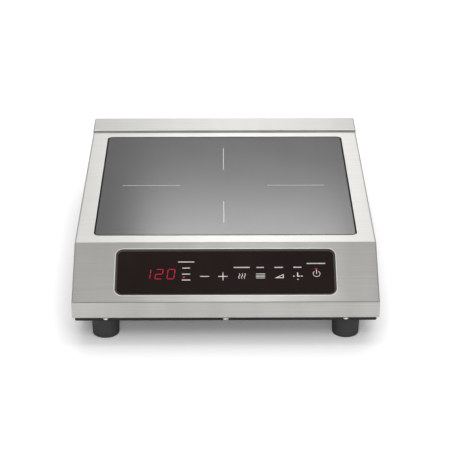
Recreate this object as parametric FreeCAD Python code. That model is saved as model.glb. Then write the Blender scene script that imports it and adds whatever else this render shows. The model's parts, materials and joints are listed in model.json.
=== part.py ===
import FreeCAD
import Part
import math
import os

# Counter-top induction hot plate. A folded steel cover carries a square cooking glass and a sloped touch
# panel, a raised steel hood closes the back, and a moulded base on rubber feet closes the bottom.
# Millimetres, +Z up, front towards -Y, origin on the counter under the middle of the part.

# Cooking glass and its opening
glass_size = 296.0
glass_thickness = 4.0
glass_corner = 5.0
seal_gap = 2.0
seal_bed = 0.5

# Steel cover
sheet = 1.0
bend_radius = 2.0
rim_side = 20.0
rim_front = 18.0
rim_rear = 17.0
slope_run = 70.0
slope_drop = 40.0
skirt_height = 19.0
bottom_flange = 10.0
rear_flange = 10.0
support_lip = 8.0
support_ledge = 12.0

# Rear hood
ledge_depth = 42.0
ledge_rise = 3.0
hood_radius = 1.5
seam_gap = 0.3

# Air slots in the side and back walls
slot_width = 4.0
slot_pitch = 10.0
side_slots = 10
side_slot_height = 26.0
side_slot_sill = 14.0
side_slots_back = 40.0
rear_slots = 22
rear_slot_height = 34.0
rear_slot_sill = 12.0

# Base, its snap hooks and its front screws
base_thickness = 4.0
base_corner = 3.0
base_inset_side = 3.0
base_inset_end = 1.0
hook_width = 12.0
hook_thickness = 3.0
hook_nose = 3.0
hook_nose_height = 1.6
hook_clearance = 0.2
rear_hook_inset = 60.0
side_hook_spread = 85.0
screw_radius = 1.5
screw_head_radius = 3.0
screw_head_height = 3.3
screw_web = 1.2
screw_clearance = 0.2
screw_bite = 5.0
screw_inset_x = 37.0
screw_inset_y = 5.0

# Rubber feet with hexagonal stems pushed into the base
foot_height = 32.0
foot_radius = 16.2
foot_taper = 1.2
foot_inset_x = 35.0
foot_inset_y = 34.0
foot_stem_radius = 6.0
foot_stem_rise = 2.0
foot_stem_clearance = 0.1

# Touch panel, measured along and across the slope
panel_width = 246.0
panel_margin = 9.3
panel_corner = 8.5
bezel_width = 2.5
bezel_clearance = 0.2
bezel_flange = 5.0
bezel_sink = 0.3
bezel_bevel = 0.8
panel_glass_thickness = 2.0
panel_glass_sink = 1.0
panel_glass_clearance = 0.15
carrier_depth = 10.0
carrier_wall = 3.0
control_board_thickness = 1.6
clip_width = 14.0
clip_sheet = 0.8
clip_reach = 3.0
clip_spread = 80.0
clip_clearance = 0.2
display_inset = 52.0
display_y = -2.3
display_width = 44.0
display_height = 19.0
touch_pad_size = 9.0
touch_row = -4.5
touch_first_gap = 23.5
touch_last_inset = 26.0
touch_keys = 7
mode_led_gap = 2.5
mode_led_first_y = 12.0
mode_led_spacing = 8.0
mode_leds = 4
power_led_y = 5.0
led_size = 3.0
led_height = 2.0
buzzer_inset = 78.0
buzzer_size = 12.0
buzzer_height = 5.0

# Coil stack under the glass
pad_thickness = 3.0
pad_hole_radius = 15.0
coil_inner_radius = 30.0
coil_turns = 6
coil_pitch = 10.5
coil_band = 8.0
coil_height = 4.0
coil_steps = 16
coil_carrier_thickness = 3.0
coil_carrier_margin = 6.0
coil_carrier_sides = 8
arm_width = 16.0
ferrite_count = 8
ferrite_length = 56.0
ferrite_width = 14.0
ferrite_height = 5.0
ferrite_inner = 36.0
sensor_radius = 9.0
sensor_sides = 8
thermistor_length = 6.0
thermistor_width = 4.0
thermistor_height = 2.0
post_size = 12.0
post_tenon = 6.0
post_tenon_clearance = 0.1
post_clearance = 6.0
coil_strap_width = 6.0
coil_strap_thickness = 2.5
coil_terminal_size = 10.0
coil_terminal_height = 9.0

# Cooling fans
fan_size = 92.0
fan_depth = 25.0
fan_wall = 2.5
fan_spacing_gap = 28.0
fan_rear_gap = 16.0
fan_tip_clearance = 1.2
fan_hub_radius = 17.0
fan_hub_height = 18.0
fan_bridge = 3.0
fan_bridge_gap = 0.5
fan_bridge_sides = 8
fan_strut_width = 4.0
fan_struts = 4
fan_shaft_radius = 2.0
fan_bearing_clearance = 0.05
fan_blades = 7
fan_blade_sink = 2.0
blade_thickness = 1.8
blade_chord = 17.0
blade_pitch = 35.0
guide_length = 20.0
guide_thickness = 2.0
guide_height = 8.0
guide_clearance = 0.2
grille_bar = 4.0
grille_slot = 4.0

# Power electronics
board_thickness = 1.6
board_clearance = 8.0
board_post_size = 8.0
board_post_inset = 8.0
board_gap = 6.0
power_board_width = 200.0
power_board_depth = 130.0
sink_width = 90.0
sink_depth = 80.0
sink_base = 5.0
sink_fin_height = 17.0
sink_fin_thickness = 2.0
sink_fins = 12
sink_inset_x = 5.0
sink_inset_y = 30.0
package_height = 5.0
igbt_width = 16.0
igbt_depth = 20.0
igbt_spacing = 30.0
rectifier_width = 22.0
rectifier_depth = 30.0
film_cap_width = 26.0
film_cap_depth = 42.0
film_cap_height = 28.0
film_cap_gap = 6.0
film_cap_inset = 8.0
choke_core = 6.0
power_choke_width = 32.0
power_choke_depth = 30.0
power_choke_height = 24.0
filter_board_width = 30.0
filter_board_depth = 110.0
filter_board_gap = 2.0
filter_part_gap = 3.0
filter_choke_width = 22.0
filter_choke_depth = 24.0
filter_choke_height = 18.0
filter_cap_width = 18.0
filter_cap_depth = 28.0
filter_cap_height = 22.0
fuse_width = 8.0
fuse_length = 20.0
fuse_height = 9.0
terminal_block_width = 28.0
terminal_block_depth = 18.0
terminal_block_height = 16.0
terminal_block_gap = 8.0
terminal_block_back = 5.0

# Sockets and flat leads
socket_width = 7.0
socket_depth = 8.0
socket_height = 7.0
socket_inset = 6.0
lead_width = 3.0
lead_thickness = 1.5
lead_clearance = 0.4
lead_bend = 10.0
fan_lead_inset = 6.0
ribbon_x = -8.5
ribbon_width = 5.0
ribbon_bend = 12.0
ribbon_lead_in = 8.0
mains_lead_spacing = 4.0

# Cord gland
gland_inset = 35.0
gland_height = 25.0
gland_bore = 5.0
gland_thread_radius = 8.0
gland_hex_radius = 12.0
gland_hex_depth = 6.0
gland_cap_radius = 11.5
gland_cap_depth = 12.0
gland_cap_wall = 2.0
gland_inside = 12.0
gland_nut_depth = 4.0
gland_clearance = 0.1
gland_thread_sides = 12

# Levels and limits that follow from the driving sizes
opening = glass_size + 2 * seal_gap
opening_corner = glass_corner + seal_gap
body_width = opening + 2 * rim_side
half_width = body_width / 2
gland_reach = gland_hex_depth + gland_cap_depth
body_depth = slope_run + rim_front + opening + rim_rear + ledge_depth
y_front = -(body_depth + gland_reach) / 2
y_glass = y_front + slope_run + rim_front + opening / 2
y_seam = y_glass + opening / 2 + rim_rear
y_back = y_seam + ledge_depth
z_floor = foot_height + base_thickness
z_bend = z_floor + skirt_height
z_top = z_bend + slope_drop
z_ledge = z_top + ledge_rise
z_glass = z_top - glass_thickness
gland_z = z_floor + gland_height
slope_angle = math.degrees(math.atan2(slope_drop, slope_run))
gland_x = half_width - gland_inset

panel_height = math.hypot(slope_run, slope_drop) - 2 * panel_margin
panel_back = -(panel_glass_sink + panel_glass_thickness)
control_front = panel_back - carrier_depth
control_back = control_front - control_board_thickness
carrier_width = panel_width + 2 * bezel_flange
carrier_height = panel_height + 2 * bezel_flange
display_x = display_inset - panel_width / 2
mode_led_x = display_x + display_width / 2 + mode_led_gap
touch_last_x = panel_width / 2 - touch_last_inset
touch_spacing = (touch_last_x - mode_led_x - touch_first_gap) / (touch_keys - 1)

pad_bottom = z_glass - pad_thickness
coil_bottom = pad_bottom - coil_height
coil_carrier_bottom = coil_bottom - coil_carrier_thickness
coil_end_radius = coil_inner_radius + coil_turns * coil_pitch
coil_carrier_radius = coil_end_radius + coil_band / 2 + coil_carrier_margin

fan_x = (fan_spacing_gap + fan_size) / 2
fan_y = y_glass - fan_rear_gap - fan_size / 2
fan_top = z_floor + fan_depth
fan_hub_top = fan_top - fan_bridge - fan_bridge_gap
fan_bore_radius = fan_size / 2 - fan_wall
fan_tip_radius = fan_bore_radius - fan_tip_clearance

board_bottom = z_floor + board_clearance
board_top = board_bottom + board_thickness
power_x0 = -(fan_x + fan_size / 2)
power_x1 = power_x0 + power_board_width
power_y0 = fan_y + fan_size / 2 + board_gap
power_y1 = power_y0 + power_board_depth
sink_x1 = power_x1 - sink_inset_x
sink_x0 = sink_x1 - sink_width
sink_y0 = power_y0 + sink_inset_y
sink_y1 = sink_y0 + sink_depth
sink_bottom = board_top + package_height
post_front_y = fan_y - fan_size / 2 - post_clearance - post_size / 2
post_rear_y = power_y1 + post_clearance + post_size / 2
filter_x1 = half_width - bottom_flange - filter_board_gap
filter_x0 = filter_x1 - filter_board_width
filter_x = (filter_x0 + filter_x1) / 2
terminal_block_y = y_seam - sheet - terminal_block_back - terminal_block_depth
filter_y1 = terminal_block_y - terminal_block_gap
filter_y0 = filter_y1 - filter_board_depth
socket_row = power_y0 + socket_inset
socket_middle = board_top + socket_height / 2
mains_socket_x = power_x1 - socket_inset

# Places along the filter board, from its front edge to its back edge
link_socket_y = filter_y0 + hook_nose + filter_part_gap + socket_depth / 2
filter_choke_y = link_socket_y + socket_depth / 2 + filter_part_gap
filter_cap_y = filter_choke_y + filter_choke_depth + filter_part_gap
fuse_y = filter_cap_y + filter_cap_depth + filter_part_gap
inlet_socket_y = filter_y1 - hook_nose - filter_part_gap - socket_depth / 2

X_AXIS = FreeCAD.Vector(1, 0, 0)
Y_AXIS = FreeCAD.Vector(0, 1, 0)
Z_AXIS = FreeCAD.Vector(0, 0, 1)
ORIGIN = FreeCAD.Vector(0, 0, 0)
OVERCUT = 1.0
NEAR = 1e-3
SIDES = {"left": -1, "right": 1}


# Basic shapes


def vec(x, y, z):
    return FreeCAD.Vector(x, y, z)


def block(x0, x1, y0, y1, z0, z1):
    """Box between two limits on each axis."""
    return Part.makeBox(x1 - x0, y1 - y0, z1 - z0, vec(x0, y0, z0))


def pillar(x, y, width, depth, z0, z1):
    """Upright box centred on x, y."""
    return block(x - width / 2, x + width / 2, y - depth / 2, y + depth / 2, z0, z1)


def drum(x, y, z0, z1, radius):
    """Upright cylinder."""
    return Part.makeCylinder(radius, z1 - z0, vec(x, y, z0))


def polygon(sides, radius, x, y, z):
    """Closed regular outline with two flats square to X, radius at its corners."""
    points = []
    for k in range(sides + 1):
        angle = (k + 0.5) * 2 * math.pi / sides
        points.append(vec(x + radius * math.cos(angle), y + radius * math.sin(angle), z))
    return Part.makePolygon(points)


def prism(sides, radius, x, y, z0, z1):
    """Upright regular prism with two flats square to X, radius at its corners."""
    return Part.Face(polygon(sides, radius, x, y, z0)).extrude(vec(0, 0, z1 - z0))


def rounded_plate(width, depth, z0, z1, radius, x=0.0, y=0.0):
    """Plate with round corners, centred on x, y."""
    hx = width / 2 - radius
    hy = depth / 2 - radius
    corners = [(hx, hy), (-hx, hy), (-hx, -hy), (hx, -hy)]
    arcs = []
    for k, (cx, cy) in enumerate(corners):
        arcs.append(Part.makeCircle(radius, vec(x + cx, y + cy, z0), Z_AXIS, 90 * k, 90 * (k + 1)))
    edges = []
    for arc, following in zip(arcs, arcs[1:] + arcs[:1]):
        edges.append(arc)
        edges.append(Part.makeLine(arc.lastVertex().Point, following.firstVertex().Point))
    return Part.Face(Part.Wire(edges)).extrude(vec(0, 0, z1 - z0))


def square_plate(size, z0, z1, corner):
    """Square plate centred on the glass, with sharp corners where none is given."""
    if corner:
        return rounded_plate(size, size, z0, z1, corner, 0, y_glass)
    return pillar(0, y_glass, size, size, z0, z1)


def square_ring(outer, inner, z0, z1, outer_corner, inner_corner):
    """Square frame between two square sizes, centred on the glass."""
    ring = square_plate(outer, z0, z1, outer_corner)
    return ring.cut(square_plate(inner, z0 - OVERCUT, z1 + OVERCUT, inner_corner))


def edges_at(shape, middles):
    """The edges whose middle lies at one of the given points."""
    return [edge for edge in shape.Edges if any((edge.CenterOfMass - m).Length < NEAR for m in middles)]


def joined(*shapes):
    """One solid out of touching or crossing shapes."""
    return shapes[0].fuse(list(shapes[1:])).removeSplitter()


def group(solids):
    """Separate solids that share one node."""
    return Part.makeCompound(solids)


def swung(shape, degrees, x, y):
    """Turns a shape about the upright axis and moves it from the origin to x, y."""
    return shape.rotated(ORIGIN, Z_AXIS, degrees).translated(vec(x, y, 0))


def slope_placement():
    """Flat drawings to the sloped panel: x across, y up the slope, z out of it, from its middle."""
    middle = vec(0, y_front + slope_run / 2, z_bend + slope_drop / 2)
    return FreeCAD.Placement(middle, FreeCAD.Rotation(X_AXIS, slope_angle))


def on_slope(shape):
    return shape.transformed(slope_placement().toMatrix())


def at_gland(shape):
    """Upright drawings to the cord gland: z out of the back wall, from its outer face."""
    turn = FreeCAD.Rotation(X_AXIS, -90)
    return shape.transformed(FreeCAD.Placement(vec(gland_x, y_back, gland_z), turn).toMatrix())


def flat_lead(points, bend, width, thickness, across):
    """Flat lead on straight runs joined by tangent arcs in one plane, its width along the given axis."""
    edges = []
    last = points[0]
    for before, corner, after in zip(points, points[1:], points[2:]):
        into = (corner - before).normalize()
        out = (after - corner).normalize()
        turn = into.getAngle(out)
        start = corner - into * (bend * math.tan(turn / 2))
        end = corner + out * (bend * math.tan(turn / 2))
        middle = corner + (out - into).normalize() * (bend / math.cos(turn / 2) - bend)
        edges.append(Part.LineSegment(last, start).toShape())
        edges.append(Part.Arc(start, middle, end).toShape())
        last = end
    edges.append(Part.LineSegment(last, points[-1]).toShape())
    along = (points[1] - points[0]).normalize()
    half_across = across * (width / 2)
    half_through = along.cross(across) * (thickness / 2)
    corners = [half_across + half_through, half_through - half_across, -half_across - half_through,
               half_across - half_through]
    section = Part.makePolygon([points[0] + c for c in corners + corners[:1]])
    return Part.Wire(edges).makePipeShell([section], True, False)


# Steel cover and hood


def cover_outline(inset, bottom, rear):
    """Side outline of the cover, moved in by the sheet for its inside."""
    rise = slope_drop / slope_run
    along = inset / math.cos(math.radians(slope_angle))
    front = y_front + inset
    z_low = z_bend + inset * rise - along
    y_high = y_front + (slope_drop - inset + along) / rise
    return [(front, bottom), (front, z_low), (y_high, z_top - inset), (rear, z_top - inset), (rear, bottom)]


def cover_block(inset, bottom, rear):
    """Solid body of the cover with its folds rounded."""
    outline = cover_outline(inset, bottom, rear)
    half = half_width - inset
    points = [vec(-half, y, z) for y, z in outline + outline[:1]]
    solid = Part.Face(Part.makePolygon(points)).extrude(vec(2 * half, 0, 0))
    middles = [vec(0, y, z) for y, z in outline[1:3]]
    for (ya, za), (yb, zb) in zip(outline, outline[1:4]):
        for sign in SIDES.values():
            middles.append(vec(sign * half, (ya + yb) / 2, (za + zb) / 2))
    return solid.makeFillet(bend_radius - inset, edges_at(solid, middles))


def side_slot_tools():
    """Upright slots through both side walls, behind the middle."""
    z0 = z_floor + side_slot_sill
    tools = []
    for k in range(side_slots):
        y = y_glass + side_slots_back + k * slot_pitch
        for sign in SIDES.values():
            tools.append(pillar(sign * half_width, y, 4 * sheet, slot_width, z0, z0 + side_slot_height))
    return tools


def screw_places():
    side = half_width - screw_inset_x
    return [(x, y_front + screw_inset_y) for x in (-side, 0, side)]


def screw_hole_tools():
    """Square clip holes of the front screws, through the base and the flange above it."""
    hole = 2 * (screw_radius + screw_clearance)
    return [pillar(x, y, hole, hole, foot_height - OVERCUT, z_floor + sheet + OVERCUT)
            for x, y in screw_places()]


def screw_notch_tools():
    """Notches in the front edge of the base for the heads of the front screws."""
    half = screw_head_radius + screw_clearance
    return [block(x - half, x + half, y_front, y + half, foot_height - OVERCUT, z_floor - screw_web)
            for x, y in screw_places()]


def top_cover():
    """Folded cover: rim, sloped front, skirt and sides, flanged inwards at the bottom and the back."""
    outer = cover_block(0, z_floor, y_seam)
    inner = cover_block(sheet, z_floor - OVERCUT, y_seam + OVERCUT)
    within_x = half_width - bottom_flange
    foot = outer.common(block(-half_width, half_width, y_front, y_seam, z_floor, z_floor + sheet))
    foot = foot.cut(block(-within_x, within_x, y_front + bottom_flange, y_seam + OVERCUT, 0, z_top))
    within_x = half_width - rear_flange
    back = outer.common(block(-half_width, half_width, y_seam - sheet, y_seam, z_floor, z_top))
    back = back.cut(block(-within_x, within_x, y_seam - 2 * sheet, y_seam + OVERCUT, 0, z_top - rear_flange))
    shell = joined(outer.cut(inner), foot, back)
    glass_cut = square_plate(opening, z_top - 2 * sheet, z_top + OVERCUT, opening_corner)
    panel_cut = on_slope(rounded_plate(panel_width, panel_height, -2 * sheet, OVERCUT, panel_corner))
    return shell.cut([glass_cut, panel_cut] + screw_hole_tools() + side_slot_tools())


def hood_block(front):
    """Solid body of the hood with its folds rounded."""
    solid = block(-half_width, half_width, front, y_back, z_floor, z_ledge)
    middles = [vec(0, front, z_ledge), vec(0, y_back, z_ledge)]
    for sign in SIDES.values():
        middles.append(vec(sign * half_width, y_back, (z_floor + z_ledge) / 2))
        middles.append(vec(sign * half_width, (front + y_back) / 2, z_ledge))
    return solid.makeFillet(hood_radius, edges_at(solid, middles))


def rear_slot_tools():
    """Upright exhaust slots through the back wall."""
    z0 = z_floor + rear_slot_sill
    first = -slot_pitch * (rear_slots - 1) / 2
    return [pillar(first + k * slot_pitch, y_back, slot_width, 4 * sheet, z0, z0 + rear_slot_height)
            for k in range(rear_slots)]


def rear_hood():
    """Raised rear cap: ledge, slotted back wall and side cheeks, flanged at the front and the bottom."""
    front = y_seam + seam_gap
    outer = hood_block(front)
    within_x = half_width - sheet
    inner = block(-within_x, within_x, front + sheet, y_back - sheet, z_floor - OVERCUT, z_ledge - sheet)
    shell = outer.cut(inner)
    within_x = half_width - rear_flange
    mouth = block(-within_x, within_x, front - OVERCUT, front + 2 * sheet,
                  z_floor - OVERCUT, z_top - rear_flange)
    within_x = half_width - bottom_flange
    foot = outer.common(block(-half_width, half_width, front, y_back, z_floor, z_floor + sheet))
    foot = foot.cut(block(-within_x, within_x, front - OVERCUT, y_back - bottom_flange, 0, z_top))
    gland_hole = at_gland(drum(0, 0, -2 * sheet, OVERCUT, gland_thread_radius + gland_clearance))
    return joined(shell.cut(mouth), foot).cut([gland_hole] + rear_slot_tools())


# Base, feet and screws


def hook(x, y, degrees, shelf):
    """Snap hook standing on the base at an edge, its nose over the shelf it holds."""
    top = shelf + hook_clearance + hook_nose_height
    half = hook_width / 2
    stem = block(-hook_clearance - hook_thickness, -hook_clearance, -half, half, z_floor, top)
    nose = block(-hook_clearance, hook_nose, -half, half, top - hook_nose_height, top)
    return swung(joined(stem, nose), degrees, x, y)


def edge_hooks():
    """Hooks over the flanges of the cover and the hood."""
    shelf = z_floor + sheet
    side_x = half_width - bottom_flange
    rear_x = half_width - rear_hook_inset
    hooks = [hook(x, y_back - bottom_flange, 90, shelf) for x in (-rear_x, 0, rear_x)]
    for along in (-side_hook_spread, side_hook_spread):
        hooks.append(hook(side_x, y_glass + along, 0, shelf))
        hooks.append(hook(-side_x, y_glass + along, 180, shelf))
    return hooks


def board_hooks():
    """Hooks over the edges of the two boards."""
    power_y = (power_y0 + power_y1) / 2
    return [hook(power_x0, power_y, 0, board_top), hook(power_x1, power_y, 180, board_top),
            hook(filter_x, filter_y0, 90, board_top), hook(filter_x, filter_y1, 270, board_top)]


def board_posts():
    """Square posts under the corners of the two boards."""
    inset = board_post_inset
    boards = [(power_x0, power_x1, power_y0, power_y1), (filter_x0, filter_x1, filter_y0, filter_y1)]
    posts = []
    for x0, x1, y0, y1 in boards:
        for x in (x0 + inset, x1 - inset):
            for y in (y0 + inset, y1 - inset):
                posts.append(pillar(x, y, board_post_size, board_post_size, z_floor, board_bottom))
    return posts


def fan_guides(x):
    """Low ribs against the four sides of a fan."""
    near = fan_size / 2 + guide_clearance
    rib = block(near, near + guide_thickness, -guide_length / 2, guide_length / 2,
                z_floor, z_floor + guide_height)
    return [swung(rib, 90 * k, x, fan_y) for k in range(4)]


def grille_tools(x):
    """Parallel intake slots under one fan, as long as its circle is wide there, split by a middle bar."""
    step = grille_slot + grille_bar
    count = int((fan_tip_radius - grille_slot) / step)
    tools = []
    for k in range(-count, count + 1):
        reach = math.sqrt(fan_tip_radius**2 - (abs(k) * step + grille_slot / 2) ** 2)
        for sign in SIDES.values():
            middle = sign * (reach + grille_bar / 2) / 2
            tools.append(pillar(x + middle, fan_y + k * step, reach - grille_bar / 2, grille_slot,
                                foot_height - OVERCUT, z_floor + OVERCUT))
    return tools


def foot_places():
    return [(sign * (half_width - foot_inset_x), y) for sign in SIDES.values()
            for y in (y_front + foot_inset_y, y_back - foot_inset_y)]


def post_places():
    """Middles of the coil posts, in front of the fans and behind the power board."""
    return [(sign * fan_x, y) for sign in SIDES.values() for y in (post_front_y, post_rear_y)]


def base_pan():
    """Moulded base with intake grilles, board posts, fan guides and snap hooks."""
    width = body_width - 2 * base_inset_side
    y0 = y_front + base_inset_end
    y1 = y_back - base_inset_end
    pan = rounded_plate(width, y1 - y0, foot_height, z_floor, base_corner, 0, (y0 + y1) / 2)
    cuts = screw_hole_tools() + screw_notch_tools()
    stem = foot_stem_radius + foot_stem_clearance
    cuts += [prism(6, stem, x, y, foot_height - OVERCUT, z_floor + OVERCUT) for x, y in foot_places()]
    tenon = post_tenon + 2 * post_tenon_clearance
    cuts += [pillar(x, y, tenon, tenon, foot_height - OVERCUT, z_floor + OVERCUT) for x, y in post_places()]
    solids = edge_hooks() + board_hooks() + board_posts()
    for sign in SIDES.values():
        cuts += grille_tools(sign * fan_x)
        solids += fan_guides(sign * fan_x)
    return joined(pan.cut(cuts), *solids)


def rubber_feet():
    """Tapered feet, held by hexagonal stems in the base."""
    body = Part.makeCone(foot_radius - foot_taper, foot_radius, foot_height)
    stem = prism(6, foot_stem_radius, 0, 0, foot_height, z_floor + foot_stem_rise)
    foot = joined(body, stem)
    return group([foot.translated(vec(x, y, 0)) for x, y in foot_places()])


def base_screws():
    """Screws in the front edge of the base, whose heads stand just below it."""
    seat = z_floor - screw_web
    tip = z_floor + sheet + screw_bite
    head = drum(0, 0, seat - screw_head_height, seat, screw_head_radius)
    screw = joined(head, prism(8, screw_radius, 0, 0, seat, tip))
    return group([screw.translated(vec(x, y, 0)) for x, y in screw_places()])


# Glass and its frame


def glass_plate():
    return square_plate(glass_size, z_glass, z_top, glass_corner)


def glass_seal():
    """Silicone bead around the glass and the bed under its edge."""
    bed_inner = opening - 2 * support_ledge
    bead = square_ring(opening, glass_size, z_glass, z_top, opening_corner, glass_corner)
    bed = square_ring(opening, bed_inner, z_glass - seal_bed, z_glass, opening_corner, 0)
    return joined(bead, bed)


def glass_support_frame():
    """Stepped frame under the rim that carries the glass."""
    ledge_top = z_glass - seal_bed
    under_rim = z_top - sheet
    wall_size = opening + 2 * sheet
    lip_size = opening + 2 * support_lip
    ledge_inner = opening - 2 * support_ledge
    lip = square_ring(lip_size, opening, under_rim - sheet, under_rim, 0, opening_corner)
    wall = square_ring(wall_size, opening, ledge_top - sheet, under_rim, 0, opening_corner)
    ledge = square_ring(wall_size, ledge_inner, ledge_top - sheet, ledge_top, 0, 0)
    return joined(lip, wall, ledge)


# Touch panel, drawn flat and set on the slope


def control_bezel():
    """Frame that fills the edge of the panel window, bevelled towards the glass."""
    lip = rounded_plate(panel_width - 2 * bezel_clearance, panel_height - 2 * bezel_clearance,
                        panel_back, -bezel_sink, panel_corner - bezel_clearance)
    flange = pillar(0, 0, carrier_width, carrier_height, panel_back, -sheet)
    hole_width = panel_width - 2 * bezel_width
    hole_height = panel_height - 2 * bezel_width
    corner = panel_corner - bezel_width
    hole = rounded_plate(hole_width, hole_height, panel_back - OVERCUT, OVERCUT, corner)
    low_rim = rounded_rim(hole_width, hole_height, corner, -bezel_sink - bezel_bevel, 0)
    high_rim = rounded_rim(hole_width, hole_height, corner, -bezel_sink, bezel_bevel)
    bevel = Part.makeLoft([low_rim, high_rim], True, True)
    return on_slope(joined(lip, flange).cut([hole, bevel]))


def rounded_rim(width, height, corner, z, grow):
    """Closed outline of a rounded plate at one level, grown outwards."""
    plate = rounded_plate(width + 2 * grow, height + 2 * grow, z, z + OVERCUT, corner + grow)
    return [face for face in plate.Faces if abs(face.CenterOfMass.z - z) < NEAR][0].OuterWire


def control_glass():
    side = 2 * (bezel_width + panel_glass_clearance)
    corner = panel_corner - bezel_width - panel_glass_clearance
    plate = rounded_plate(panel_width - side, panel_height - side, panel_back, -panel_glass_sink, corner)
    return on_slope(plate)


def control_carrier():
    """Moulded frame that holds the control board behind the panel glass."""
    frame = pillar(0, 0, carrier_width, carrier_height, control_front, panel_back)
    hollow = pillar(0, 0, panel_width - 2 * carrier_wall, panel_height - 2 * carrier_wall,
                    control_front - OVERCUT, panel_back + OVERCUT)
    return on_slope(frame.cut(hollow))


def control_board():
    return on_slope(pillar(0, 0, carrier_width, carrier_height, control_back, control_front))


def control_clips():
    """Bent spring clips, welded behind the slope, that hold the board and its carrier."""
    leg = carrier_height / 2 + clip_clearance
    back = leg + clip_sheet
    tip = leg + clip_reach
    nose = leg - clip_reach
    low = control_back - clip_sheet
    under = -sheet - clip_sheet
    outline = [(leg, -sheet), (tip, -sheet), (tip, under), (back, under), (back, low), (nose, low),
               (nose, control_back), (leg, control_back)]
    points = [vec(-clip_width / 2, y, z) for y, z in outline + outline[:1]]
    clip = Part.Face(Part.makePolygon(points)).extrude(vec(clip_width, 0, 0))
    places = [(turn, x) for turn in (0, 180) for x in (-clip_spread, clip_spread)]
    return group([on_slope(swung(clip, turn, x, 0)) for turn, x in places])


def display_module():
    """Three-digit display block between the board and the panel glass."""
    return on_slope(pillar(display_x, display_y, display_width, display_height, control_front, panel_back))


def touch_pads():
    """Conductive pads behind the touch symbols."""
    xs = [touch_last_x - k * touch_spacing for k in range(touch_keys)]
    return group([on_slope(pillar(x, touch_row, touch_pad_size, touch_pad_size, control_front, panel_back))
                  for x in xs])


def indicator_leds():
    places = [(mode_led_x, mode_led_first_y - k * mode_led_spacing) for k in range(mode_leds)]
    places.append((touch_last_x, power_led_y))
    top = control_front + led_height
    return group([on_slope(pillar(x, y, led_size, led_size, control_front, top)) for x, y in places])


def buzzer():
    x = panel_width / 2 - buzzer_inset
    low = control_back - buzzer_height
    return on_slope(pillar(x, 0, buzzer_size, buzzer_size, low, control_back))


# Coil stack


def insulation_pad():
    """Felt between the coil and the glass, open in the middle for the sensor."""
    corner_radius = coil_carrier_radius / math.cos(math.pi / coil_carrier_sides)
    hole = prism(coil_carrier_sides, pad_hole_radius, 0, y_glass, pad_bottom - OVERCUT, z_glass + OVERCUT)
    return prism(coil_carrier_sides, corner_radius, 0, y_glass, pad_bottom, z_glass).cut(hole)


def spiral_points(offset):
    """Points along the coil's spiral, moved out by offset, from its inner to its outer end."""
    points = []
    for k in range(coil_turns * coil_steps + 1):
        turns = k / coil_steps
        radius = coil_inner_radius + turns * coil_pitch + offset
        angle = math.pi + 2 * math.pi * turns
        points.append(vec(radius * math.cos(angle), y_glass + radius * math.sin(angle), coil_bottom))
    return points


def induction_coil():
    """Flat spiral of litz band."""
    outline = spiral_points(coil_band / 2) + spiral_points(-coil_band / 2)[::-1]
    return Part.Face(Part.makePolygon(outline + outline[:1])).extrude(vec(0, 0, coil_height))


def coil_ends():
    """Where the two ends of the coil drop to the power board."""
    return [(-coil_inner_radius, y_glass), (-coil_end_radius, y_glass)]


def coil_carrier():
    """Plate with four arms that carries the coil on its posts."""
    z0 = coil_carrier_bottom
    corner_radius = coil_carrier_radius / math.cos(math.pi / coil_carrier_sides)
    solids = [prism(coil_carrier_sides, corner_radius, 0, y_glass, z0, coil_bottom)]
    for x, y in post_places():
        reach = math.hypot(x, y - y_glass) + arm_width / 2
        arm = block(0, reach, -arm_width / 2, arm_width / 2, z0, coil_bottom)
        solids.append(swung(arm, math.degrees(math.atan2(y - y_glass, x)), 0, y_glass))
    tenon = post_tenon + 2 * post_tenon_clearance
    cuts = [pillar(x, y, tenon, tenon, z0 - OVERCUT, coil_bottom + OVERCUT) for x, y in post_places()]
    cuts += [pillar(x, y, coil_strap_width + 2 * lead_clearance, coil_strap_thickness + 2 * lead_clearance,
                    z0 - OVERCUT, coil_bottom + OVERCUT) for x, y in coil_ends()]
    cuts.append(pillar(0, y_glass, lead_width + 2 * lead_clearance, lead_thickness + 2 * lead_clearance,
                       z0 - OVERCUT, coil_bottom + OVERCUT))
    return joined(*solids).cut(cuts)


def ferrite_bars():
    bar = block(ferrite_inner, ferrite_inner + ferrite_length, -ferrite_width / 2, ferrite_width / 2,
                coil_carrier_bottom - ferrite_height, coil_carrier_bottom)
    return group([swung(bar, (k + 0.5) * 360 / ferrite_count, 0, y_glass) for k in range(ferrite_count)])


def sensor_holder():
    return prism(sensor_sides, sensor_radius, 0, y_glass, coil_bottom, z_glass - thermistor_height)


def thermistor():
    return pillar(0, y_glass, thermistor_length, thermistor_width, z_glass - thermistor_height, z_glass)


def coil_posts():
    """Square spacers between the base and the coil carrier, with a tenon through each."""
    posts = []
    for x, y in post_places():
        body = pillar(x, y, post_size, post_size, z_floor, coil_carrier_bottom)
        posts.append(joined(body, pillar(x, y, post_tenon, post_tenon, foot_height, coil_bottom)))
    return group(posts)


def coil_straps():
    """Flat leads from the ends of the coil down to their terminals."""
    low = board_top + coil_terminal_height
    return group([pillar(x, y, coil_strap_width, coil_strap_thickness, low, coil_bottom)
                  for x, y in coil_ends()])


def coil_terminals():
    """Brass blocks on the power board for the coil's ends."""
    top = board_top + coil_terminal_height
    return group([pillar(x, y, coil_terminal_size, coil_terminal_size, board_top, top)
                  for x, y in coil_ends()])


# Fans


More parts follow.
